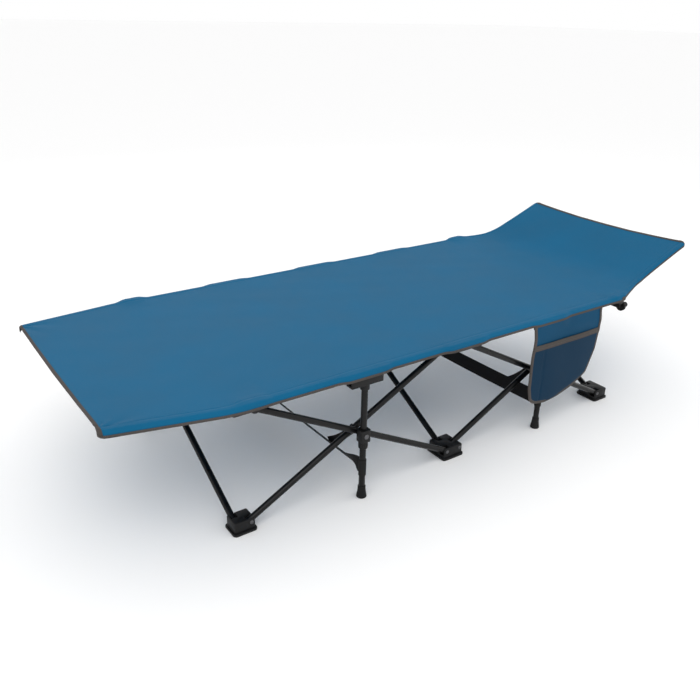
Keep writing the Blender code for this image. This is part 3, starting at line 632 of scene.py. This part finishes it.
def woven(name, colour, pitch, depth, lift, sheen, low, high):
    """A plain weave on the UV map, in metres: two sets of threads that pass over and under."""
    finish, nodes, links, shader = material_of(name)
    place = nodes.new("ShaderNodeUVMap")
    place.uv_map = "cut"
    split = nodes.new("ShaderNodeSeparateXYZ")
    links.new(place.outputs["UV"], split.inputs["Vector"])
    waves = []
    for axis in ("X", "Y"):
        turn = nodes.new("ShaderNodeMath")
        turn.operation = "MULTIPLY"
        turn.inputs[1].default_value = math.pi / pitch
        wave = nodes.new("ShaderNodeMath")
        wave.operation = "SINE"
        links.new(split.outputs[axis], turn.inputs[0])
        links.new(turn.outputs["Value"], wave.inputs[0])
        waves.append(wave)
    cross = nodes.new("ShaderNodeMath")
    cross.operation = "MULTIPLY"
    for k in (0, 1):
        links.new(waves[k].outputs["Value"], cross.inputs[k])
    bump = nodes.new("ShaderNodeBump")
    bump.inputs["Strength"].default_value = 0.4
    bump.inputs["Distance"].default_value = depth
    links.new(cross.outputs["Value"], bump.inputs["Height"])
    links.new(bump.outputs["Normal"], shader.inputs["Normal"])
    body_place = nodes.new("ShaderNodeTexCoord")
    cloud = nodes.new("ShaderNodeTexNoise")
    cloud.inputs["Scale"].default_value = 6
    cloud.inputs["Detail"].default_value = 6
    links.new(body_place.outputs["Object"], cloud.inputs["Vector"])
    thread = nodes.new("ShaderNodeMath")
    thread.operation = "MULTIPLY_ADD"
    thread.inputs[1].default_value = 0.12
    links.new(cross.outputs["Value"], thread.inputs[0])
    links.new(cloud.outputs["Fac"], thread.inputs[2])
    ramp = nodes.new("ShaderNodeValToRGB")
    ramp.color_ramp.elements[0].position, ramp.color_ramp.elements[1].position = 0.3, 0.7
    ramp.color_ramp.elements[0].color = (*(c / lift for c in colour), 1)
    ramp.color_ramp.elements[1].color = (*(c * lift for c in colour), 1)
    links.new(thread.outputs["Value"], ramp.inputs["Fac"])
    links.new(ramp.outputs["Color"], shader.inputs["Base Color"])
    span = nodes.new("ShaderNodeMapRange")
    span.inputs["To Min"].default_value, span.inputs["To Max"].default_value = low, high
    links.new(cloud.outputs["Fac"], span.inputs["Value"])
    links.new(span.outputs["Result"], shader.inputs["Roughness"])
    shader.inputs["Sheen Weight"].default_value = sheen
    shader.inputs["Sheen Roughness"].default_value = 0.5
    shader.inputs["Specular IOR Level"].default_value = 0.1
    return finish


def cloth(name, points, normals, cut, thick, finish, flip=False):
    """A closed sheet of this thickness round a grid of points, with a UV map of its flat cut in metres."""
    rows, cols = points.shape[:2]
    count = rows * cols
    out = normals.reshape(-1, 3)
    middle = points.reshape(-1, 3)
    grid = np.arange(count).reshape(rows, cols)
    quads = np.stack([grid[:-1, :-1], grid[1:, :-1], grid[1:, 1:], grid[:-1, 1:]], -1).reshape(-1, 4)
    rim = np.concatenate([grid[0, :-1], grid[:-1, -1], grid[-1, :0:-1], grid[:0:-1, 0]])
    after = np.roll(rim, -1)
    walls = np.stack([rim, after, after + count, rim + count], -1)
    faces = np.concatenate([quads, quads[:, ::-1] + count, walls])
    ways = np.concatenate([out[quads], -out[quads[:, ::-1]], np.zeros((len(walls), 4, 3))])
    if flip:
        faces, ways = faces[:, ::-1], ways[:, ::-1]
    mesh = bpy.data.meshes.new(name)
    mesh.from_pydata(np.concatenate([middle + out * thick / 2, middle - out * thick / 2]), [], faces.tolist())
    layer = mesh.uv_layers.new(name="cut")
    layer.data.foreach_set("uv", cut.reshape(-1, 2)[faces.reshape(-1) % count].astype(np.float32).ravel())
    mesh.shade_smooth()
    mesh.normals_split_custom_set(ways.reshape(-1, 3))
    mesh.materials.append(finish)
    return link(bpy.data.objects.new(name, mesh))


def band(name, path, across, thick, finish):
    """A flat band along path; across gives half its width as a vector at each point."""
    path, across = np.array(path, float), np.array(across, float)
    steps = np.linspace(-1, 1, 7)
    points = path[:, None] + across[:, None] * steps[None, :, None]
    along = np.gradient(path, axis=0)
    out = np.cross(along, across)
    out /= np.linalg.norm(out, axis=1)[:, None]
    length = np.concatenate([[0], np.cumsum(np.linalg.norm(np.diff(path, axis=0), axis=1))])
    wide = np.linalg.norm(across, axis=1)
    cut = np.stack(np.broadcast_arrays(length[:, None], wide[:, None] * steps), -1)
    return cloth(name, points, np.repeat(out[:, None], len(steps), 1), cut, thick, finish)


def eased(value, low, high):
    """0 below low, 1 above high, and smooth between."""
    t = np.clip((value - low) / (high - low), 0, 1)
    return t * t * (3 - 2 * t)


WEBBING_FINISH = woven("black_webbing_weave", WEBBING, 0.0011, 0.0002, 1.5, 0.03, 0.6, 0.8)
for i, x in enumerate(LEG_X):
    reach = RAIL_Y - TUBE_RADIUS
    ys = np.linspace(-reach, reach, 60)
    lean = math.radians(STRAP_LEAN[i]) * eased(reach - np.abs(ys), *STRAP_TWIST)
    sag = STRAP_SAG * (1 - (ys / reach) ** 2)
    path = np.stack([np.full_like(ys, x), ys, STRAP_MIDDLE_Z - STRAP_DROP[i] - sag], 1)
    across = STRAP_WIDE / 2 * np.stack([-np.sin(lean), np.zeros_like(ys), np.cos(lean)], 1)
    strap = band(f"leg_webbing_{i}", path, across, STRAP_THICK, WEBBING_FINISH)
    attached(strap, f"leg_a{i}", "black_webbing", f"cross_strap_{i}")
    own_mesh(strap)
    for side, s in SIDES.items():
        low = STRAP_MIDDLE_Z - STRAP_DROP[i] - STRAP_WIDE / 2
        high = low + STRAP_WIDE
        loop = turned(f"webbing_loop_{side}{i}",
                      [(TUBE_RADIUS + LOOP_GAP, low), (TUBE_RADIUS + LOOP_OUT, low + LOOP_EDGE),
                       (TUBE_RADIUS + LOOP_OUT, high - LOOP_EDGE), (TUBE_RADIUS + LOOP_GAP, high)],
                      (x, s * RAIL_Y), RUBBER_FINISH)
        attached(loop, f"leg_{side}{i}", "black_webbing")
    y0, z0, y1, z1 = TIES[i]
    t = np.linspace(0, 1, 14)
    path = np.stack([np.full_like(t, x + TIE_ASIDE), y0 + (y1 - y0) * t,
                     z0 + (z1 - z0) * t - TIE_SAG * np.sin(math.pi * t)], 1)
    down = Vector((0, z1 - z0, y0 - y1)).normalized() * TIE_WIDE / 2
    tie = band(f"slider_tie_{i}", path, np.tile(np.array(down), (len(t), 1)), STRAP_THICK, WEBBING_FINISH)
    attached(tie, f"leg_a{i}", "black_webbing")
    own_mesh(tie)


# ---- The bed ----
# Coated polyester drawn over the rails and down their outer sides; the sleeve under the rails isn't modelled.
# It sags a little between the rails. A taupe tape binds its edges. Each length is its own piece, on its own body.
BED_BLUE = (0.0012, 0.098, 0.208)
TAPE_TAUPE = (0.066, 0.058, 0.054)
CLOTH_THICK = 0.0008
END_X = 0.950
AXIS = np.array([(-END_X, 0.3078, 0.3494), (RAIL_BEND_X, RAIL_Y, RAIL_Z), (HINGE_X, RAIL_Y, RAIL_Z),
                 (0.606, RAIL_Y, 0.3435), (0.715, 0.312, 0.352), (END_X, 0.3078, 0.4416)])
HEAD_EDGE_FROM = 0.600
HEAD_EDGE = np.array([(HEAD_EDGE_FROM, 0.3665), (0.640, 0.3500), (0.700, 0.3290), (0.756, 0.3215), (0.839, 0.3190),
                      (0.900, 0.3185), (END_X, 0.3190)])
OVER_RAIL = BESIDE_RAIL = 0.0098
RAIL_ROUND, BOX_ROUND, HEAD_ROUND = (0.0095, 0.0095), (0.004, 0.003), (0.005, 0.006)   # across, upward
HARDWARE_WIDER, HARDWARE_EASE = 0.0038, 0.034
SAG = 0.0055
MORE_SAG = ((0.0030, -0.95, -0.70), (0.006, 0.60, 0.75), (-0.003, 0.80, 0.95))   # how much, from x, to x
RIPPLE, CREASE, PUFF, SEAM_DENT, SEAM_HALF = 0.00035, 0.0011, 0.0004, 0.0007, 0.0022
TURNED_IN = 0.010
FINE_FROM, FLAT_COLUMNS, FINE_COLUMNS, ROUND_COLUMNS, HANG_COLUMNS = 0.90, 26, 24, 11, 5
SEAM_COLUMN = 38
TAPE_COLUMNS, HEAD_TAPE_COLUMNS, TAPE_ROWS = 5, 7, 4
TAPE_THICK = 0.0012
LEG_CLOTH, HUB_CLOTH = 0.028, 0.030   # half lengths of the cloth over a leg's channel and over a middle hub
HEM_DROP, HEAD_HEM_DROP = 0.0055, 0.003
CORNER_ROUND = 0.014
SEAM_INSET = 0.022
STITCH_PITCH = 0.0042
HARDWARE = [(STATIONS[0] + RAIL_PIN_OFFSET, 0.016, 0.0044), (LEG_X[0], 0.047, 0.0010), (STATIONS[1], 0.049, 0.0010),
            (LEG_X[1], 0.047, 0.0010), (HINGE_X, 0.016, 0.0044)]   # x, half length, rise of the cloth over it
SPLITS = [(-END_X, "side_rail_{}0", "foot_{}", 0.15), (RAIL_BEND_X, "side_rail_{}0", "rail_{}0", 0.05),
          (LEG_X[0] - LEG_CLOTH, "leg_{}0", "leg_{}0", 0.05),
          (LEG_X[0] + LEG_CLOTH, "side_rail_{}1", "rail_{}1", 0.05),
          (STATIONS[1] - HUB_CLOTH, "hub_{}1", "hub_{}1", 0.05),
          (STATIONS[1] + HUB_CLOTH, "side_rail_{}2", "rail_{}2", 0.05),
          (LEG_X[1] - LEG_CLOTH, "leg_{}1", "leg_{}1", 0.05),
          (LEG_X[1] + LEG_CLOTH, "side_rail_{}3", "rail_{}3", 0.05),
          (HINGE_X, "head_tube_{}", "head_{}", 0.18)]   # from x, body, name, share of its width left when folded


def smoothed(x, knots, column, window):
    """The value along a line of knots, with its corners rounded over a window."""
    offsets = np.linspace(-window, window, 15)
    at = np.asarray(x)[..., None] + offsets
    values = np.interp(at, knots[:, 0], knots[:, column])
    for end, inner in ((0, 1), (-1, -2)):
        slope = (knots[inner, column] - knots[end, column]) / (knots[inner, 0] - knots[end, 0])
        past = at < knots[end, 0] if end == 0 else at > knots[end, 0]
        values = np.where(past, knots[end, column] + slope * (at - knots[end, 0]), values)
    return values.mean(axis=-1)


def bed_skin(xs):
    """The cloth from the middle of the bed out to its hem: a grid of points, its normals and its flat cut."""
    on_head = eased(xs, HINGE_X, 0.640)
    edge = smoothed(xs, AXIS, 1, 0.02) + BESIDE_RAIL
    top = smoothed(xs, AXIS, 2, 0.05) + OVER_RAIL
    boxy, lift = np.zeros_like(xs), np.zeros_like(xs)
    for place, half, rise in HARDWARE:
        near = 1 - eased(np.abs(xs - place), half, half + HARDWARE_EASE)
        boxy = np.maximum(boxy, near)
        lift = lift + rise * near
    edge = edge + HARDWARE_WIDER * boxy
    edge = np.where(xs > HEAD_EDGE_FROM, smoothed(xs, HEAD_EDGE, 1, 0.012), edge)
    short = np.clip(CORNER_ROUND - (END_X - np.abs(xs)), 0, CORNER_ROUND)
    edge = edge - CORNER_ROUND + np.sqrt(CORNER_ROUND ** 2 - short ** 2)
    round_wide, round_high = ((RAIL_ROUND[k] + BOX_ROUND[k] * boxy) * (1 - on_head) + HEAD_ROUND[k] * on_head
                              for k in (0, 1))
    power = (1 + boxy * 1.2) * (1 - on_head) + on_head
    drop = HEM_DROP * (1 - on_head) + HEAD_HEM_DROP * on_head
    sag = sum((more * eased(xs, start, stop) for more, start, stop in MORE_SAG), SAG)
    flat = edge - round_wide
    share = np.concatenate([np.linspace(0, FINE_FROM, FLAT_COLUMNS)[:-1], np.linspace(FINE_FROM, 1, FINE_COLUMNS)])
    y = flat[:, None] * share
    away, aside = xs[:, None] + END_X, flat[:, None] - y
    seam = np.exp(-((aside - SEAM_INSET + TURNED_IN) / SEAM_HALF) ** 2)
    puff = np.sin(np.clip(aside / (SEAM_INSET - TURNED_IN), 0, 1) * math.pi)
    ripple = (RIPPLE * np.sin(21 * xs[:, None] + 3 * share) * np.sin(share * 17 + 5 * xs[:, None])
              * share * (1 - share) * 4)
    creases = CREASE * np.sin(10 * np.arctan2(aside, away)) * np.exp(-(away ** 2 + aside ** 2) / 0.010)
    beside = np.exp(-(aside / 0.030) ** 2)
    z = (top[:, None] + lift[:, None] * beside - sag[:, None] * (1 - share ** 2) - SEAM_DENT * seam + PUFF * puff
         + ripple + creases * (share < 0.97))
    top = top + lift
    turn = np.linspace(0, math.pi / 2, ROUND_COLUMNS)[1:]
    bend_y = flat[:, None] + round_wide[:, None] * np.sin(turn) ** (1 / power[:, None])
    bend_z = top[:, None] - round_high[:, None] * (1 - np.cos(turn).clip(0) ** (1 / power[:, None]))
    hang = np.linspace(0, 1, HANG_COLUMNS)[1:]
    hang_y = np.repeat(edge[:, None], len(hang), 1)
    hang_z = (top - round_high)[:, None] - drop[:, None] * hang
    all_y, all_z = np.concatenate([y, bend_y, hang_y], 1), np.concatenate([z, bend_z, hang_z], 1)
    points = np.stack([np.repeat(xs[:, None], all_y.shape[1], 1), all_y, all_z], -1)
    out = np.cross(np.gradient(points, axis=0), np.gradient(points, axis=1))
    out[:, 0, 1] = 0
    out /= np.linalg.norm(out, axis=2)[..., None]
    steps = np.linalg.norm(np.diff(points, axis=1), axis=2)
    cut_v = np.concatenate([np.zeros((len(xs), 1)), np.cumsum(steps, axis=1)], 1)
    ahead_x = np.concatenate([[0], np.cumsum(np.hypot(np.diff(xs), np.diff(top)))])
    cut = np.stack([np.repeat(ahead_x[:, None], all_y.shape[1], 1), cut_v], -1)
    return points, out, cut


def stitch_tree():
    """Stitches along a line, one every pitch, lying along it."""
    tree, given, end = new_tree("stitches", {"Pitch": "NodeSocketFloat", "Stitch": "NodeSocketVector",
                                             "Finish": "NodeSocketMaterial"})
    line = tree.nodes.new("GeometryNodeMeshToCurve")
    even = tree.nodes.new("GeometryNodeResampleCurve")
    even.mode = "LENGTH"
    thread = tree.nodes.new("GeometryNodeMeshIcoSphere")
    thread.inputs["Radius"].default_value = 1
    size = tree.nodes.new("GeometryNodeTransform")
    way = tree.nodes.new("GeometryNodeInputTangent")
    turn = tree.nodes.new("FunctionNodeAlignRotationToVector")
    turn.axis = "X"
    put = tree.nodes.new("GeometryNodeInstanceOnPoints")
    for source, sink in ((given.outputs["Points"], line.inputs["Mesh"]),
                         (line.outputs["Curve"], even.inputs["Curve"]),
                         (given.outputs["Pitch"], even.inputs["Length"]),
                         (thread.outputs["Mesh"], size.inputs["Geometry"]),
                         (given.outputs["Stitch"], size.inputs["Scale"]),
                         (way.outputs["Tangent"], turn.inputs["Vector"]),
                         (even.outputs["Curve"], put.inputs["Points"]),
                         (size.outputs["Geometry"], put.inputs["Instance"]),
                         (turn.outputs["Rotation"], put.inputs["Rotation"])):
        tree.links.new(source, sink)
    return finish_tree(tree, given, end, put.outputs["Instances"])


def thread_of(name, colour):
    finish, nodes, links, shader = material_of(name)
    tinted(nodes, links, shader, grain(nodes, links, shader, 0.0004, 0.00005, 0.5, 0.7), colour, 1.3)
    return finish


def stitches(name, lines, finish):
    """Rows of stitches along each of lines."""
    base = bpy.data.meshes.new(name)
    points, edges = [], []
    for line in lines:
        edges += [(len(points) + k, len(points) + k + 1) for k in range(len(line) - 1)]
        points += [tuple(p) for p in line]
    base.from_pydata(points, edges, [])
    return grown(name, base, STITCHES, **{"Pitch": STITCH_PITCH, "Stitch": (0.0015, 0.00032, 0.00028),
                                          "Finish": finish})


def tape(name, lines, out, thick, finish):
    """A binding tape folded over a cloth's edge; lines run from inside the cloth, row by row, out to the edge."""
    lines, out = np.asarray(lines), np.asarray(out)
    beyond = lines[:, -1] - lines[:, -2]
    beyond = lines[:, -1] + beyond / np.linalg.norm(beyond, axis=1)[:, None] * thick
    rings = np.concatenate([lines + out * thick, (beyond + out[:, -1] * thick * 0.5)[:, None],
                            (beyond - out[:, -1] * thick * 0.5)[:, None], (lines - out * thick)[:, ::-1]], 1)
    rows, cols = rings.shape[:2]
    grid = np.arange(rows * cols).reshape(rows, cols)
    after = np.roll(grid, -1, axis=1)
    faces = np.stack([grid[:-1], after[:-1], after[1:], grid[1:]], -1).reshape(-1, 4).tolist()
    faces += [grid[0, ::-1].tolist(), grid[-1].tolist()]
    mesh = bpy.data.meshes.new(name)
    mesh.from_pydata(rings.reshape(-1, 3), [], faces)
    bm = bmesh.new()
    bm.from_mesh(mesh)
    bmesh.ops.recalc_face_normals(bm, faces=bm.faces)
    bm.to_mesh(mesh)
    bm.free()
    length = np.concatenate([[0], np.cumsum(np.linalg.norm(np.diff(rings[:, 0], axis=0), axis=1))])
    round_it = np.concatenate([[0], np.cumsum(np.linalg.norm(np.diff(rings[rows // 2], axis=0), axis=1))])
    corners = np.stack([np.repeat(length[:, None], cols, 1), np.repeat(round_it[None], rows, 0)], -1).reshape(-1, 2)
    layer = mesh.uv_layers.new(name="cut")
    at = np.array([loop.vertex_index for loop in mesh.loops])
    layer.data.foreach_set("uv", corners[at].astype(np.float32).ravel())
    mesh.shade_smooth()
    mesh.set_sharp_from_angle(angle=math.radians(50))
    mesh.materials.append(finish)
    return link(bpy.data.objects.new(name, mesh))


def mirrored(points, s):
    """points on side s of the bed; they are given for the side where y is above 0."""
    return points * np.array([1, s, 1])


def gathered(obj):
    """obj gets its own copy of its mesh."""
    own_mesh(obj)


BED_FINISH = woven("blue_polyester", BED_BLUE, 0.0006, 0.00012, 1.06, 0.01, 0.5, 0.65)
TAPE_FINISH = woven("taupe_tape", TAPE_TAUPE, 0.0009, 0.00025, 1.12, 0.03, 0.65, 0.8)
THREAD_FINISH = thread_of("blue_thread", (0.024, 0.115, 0.22))
TAPE_THREAD = thread_of("taupe_thread", (0.10, 0.09, 0.085))
STITCHES = stitch_tree()
starts = [split[0] for split in SPLITS]
near_end = np.array([0.9355, 0.938, 0.9405, 0.943, 0.9455, 0.9475, 0.949])
stations_x = np.unique(np.round(np.concatenate([np.linspace(-END_X, END_X, 239), starts, near_end, -near_end]), 6))
skin, skin_out, skin_cut = bed_skin(stations_x)
for (start, body_name, title, share), stop in zip(SPLITS, starts[1:] + [END_X]):
    take = (stations_x >= start - 1e-9) & (stations_x <= stop + 1e-9)
    points, out, cut = skin[take], skin_out[take], skin_cut[take]
    for side, s in SIDES.items():
        body, label = body_name.format(side), title.format(side)
        side_points, side_out = mirrored(points, s), mirrored(out, s)
        panel = cloth(f"bed_cloth_{label}", side_points, side_out, cut, CLOTH_THICK, BED_FINISH, s < 0)
        wide_tape = TAPE_COLUMNS if start < HINGE_X else HEAD_TAPE_COLUMNS
        hem, hem_out = side_points[:, -wide_tape:], side_out[:, -wide_tape:]
        parts = [tape(f"bed_tape_{label}", hem, hem_out, TAPE_THICK, TAPE_FINISH)]
        if start == -END_X or stop == END_X:
            rows = slice(TAPE_ROWS, None, -1) if stop < END_X else slice(-1 - TAPE_ROWS, None)
            parts.append(tape(f"end_tape_{label}", side_points[rows, :-2].transpose(1, 0, 2),
                              side_out[rows, :-2].transpose(1, 0, 2), TAPE_THICK, TAPE_FINISH))
        seam = side_points[:, SEAM_COLUMN] + side_out[:, SEAM_COLUMN] * CLOTH_THICK * 0.6
        on_tape = hem[:, 1] + hem_out[:, 1] * TAPE_THICK
        parts.append(stitches(f"seam_{label}", [seam], THREAD_FINISH))
        parts.append(stitches(f"tape_seam_{label}", [on_tape], TAPE_THREAD))
        for obj in [panel] + parts:
            attached(obj, body, "bed_fabric")
            gathered(obj)
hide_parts("bed_sheet")
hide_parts("head_sheet")


# ---- Side pocket ----
# A flat pocket of the same cloth sewn under the hem at the head end of side a: a back panel with a round lower
# corner and a front patch with a pleat and a taupe band along its mouth. Taupe tape binds its outline.
# The pocket is the bed's cloth. Both of its colours are painted shade, darker than the bed's blue and darker still on
# the front patch.
POCKET_SHADED_BLUE, POUCH_SHADED_BLUE = (0.0018, 0.052, 0.115), (0.0008, 0.024, 0.056)
POCKET_TOP, POCKET_MOUTH, POCKET_LOW = 0.3365, 0.277, 0.0905
RIGHT_EDGE = np.array([(0.0905, 0.296), (0.0935, 0.334), (0.113, 0.404), (0.142, 0.457), (0.212, 0.484),
                       (0.281, 0.4915), (0.345, 0.4960)])
LEFT_EDGE = np.array([(0.0905, 0.284), (0.0925, 0.262), (0.099, 0.240), (0.112, 0.224), (0.150, 0.215),
                      (0.246, 0.213), (0.288, 0.217), (0.345, 0.2145)])
POCKET_BACK_Y = -0.3711
BINDING = 0.0022
BINDING_ROWS = np.array([0.0068, 0.0034, 0.0])   # how far in from the pocket's outline
FRONT_BULGE, FRONT_GAP, FRONT_RISE = 0.0042, 0.0010, 0.0006


def pocket_grid(low, high, bulge):
    """The pocket's cloth between two heights; bulge is how far its middle stands out."""
    fall = np.linspace(0, 1, 46)
    zs = low + (high - low) * fall ** 1.6
    us = np.linspace(0, 1, 60)
    left = smoothed(zs, LEFT_EDGE, 1, 0.004)
    right = smoothed(zs, RIGHT_EDGE, 1, 0.004)
    x = left[:, None] + (right - left)[:, None] * us
    z = np.repeat(zs[:, None], len(us), 1)
    hem_y = np.interp(x, stations_x, skin[:, -1, 1])
    near_top = eased(z, 0.300, POCKET_TOP - 0.004)
    room = np.sin(math.pi * us) ** 0.6 * np.sin(math.pi * np.clip((z - POCKET_LOW) / 0.25, 0, 1)) ** 0.7
    pleat = np.exp(-((x - 0.262 + 0.02 * (z - 0.1)) / 0.0022) ** 2) * (bulge > 0)
    wave = 0.0007 * np.sin(40 * x + 14 * z) * np.sin(math.pi * us)
    y = -hem_y * near_top + POCKET_BACK_Y * (1 - near_top) - bulge * room - wave * (1 - near_top) + 0.0013 * pleat
    points = np.stack([x, y, z], -1)
    out = np.cross(np.gradient(points, axis=1), np.gradient(points, axis=0))
    out /= np.linalg.norm(out, axis=2)[..., None]
    return points, out, np.stack([x, z], -1)


def pocket_piece(obj):
    attached(obj, "side_rail_a3", "pocket_fabric")
    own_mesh(obj)
    return obj


# These two finishes carry the pocket's painted shade: the back panel's colour and the darker front patch's.
POCKET_SHADED_FINISH = woven("pocket_polyester_painted_shade", POCKET_SHADED_BLUE, 0.0006, 0.00012, 1.08, 0.01, 0.5, 0.65)
POUCH_SHADED_FINISH = woven("pouch_polyester_painted_shade", POUCH_SHADED_BLUE, 0.0006, 0.00012, 1.08, 0.01, 0.5, 0.65)
back_points, back_out, back_cut = pocket_grid(POCKET_LOW, POCKET_TOP, 0.0)
front_points, front_out, front_cut = pocket_grid(POCKET_LOW + FRONT_RISE, POCKET_MOUTH, FRONT_BULGE)
front_points = front_points + front_out * FRONT_GAP
pocket_back = pocket_piece(cloth("pocket_back", back_points, back_out, back_cut, CLOTH_THICK, POCKET_SHADED_FINISH, True))
pocket_front = pocket_piece(cloth("pocket_front", front_points, front_out, front_cut, CLOTH_THICK, POUCH_SHADED_FINISH,
                                  True))
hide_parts("side_pocket")
outline = np.concatenate([back_points[::-1, 0], back_points[0, 1:-1], back_points[:, -1]])
outline_out = np.tile([0.0, -1.0, 0.0], (len(outline), 3, 1))
inward = np.cross(np.gradient(outline, axis=0), outline_out[:, 0])
inward /= np.linalg.norm(inward, axis=1)[:, None]
inward *= np.sign(((back_points.reshape(-1, 3).mean(axis=0) - outline) * inward).sum(axis=1))[:, None]
edge_lines = outline[:, None] + inward[:, None] * BINDING_ROWS[None, :, None]
edge_tape = pocket_piece(tape("pocket_tape", edge_lines, outline_out, BINDING, TAPE_FINISH))
mouth_tape = pocket_piece(tape("pocket_mouth_tape", front_points[-3:].transpose(1, 0, 2),
                               front_out[-3:].transpose(1, 0, 2), BINDING, TAPE_FINISH))
mouth_row = front_points[-2] + front_out[-2] * BINDING
pocket_seam = pocket_piece(stitches("pocket_seams", [mouth_row, edge_lines[:, 0] + outline_out[:, 0] * BINDING
                                                     - inward * 0.0012], TAPE_THREAD))


# ---- Sizes and the end ----
low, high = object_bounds()
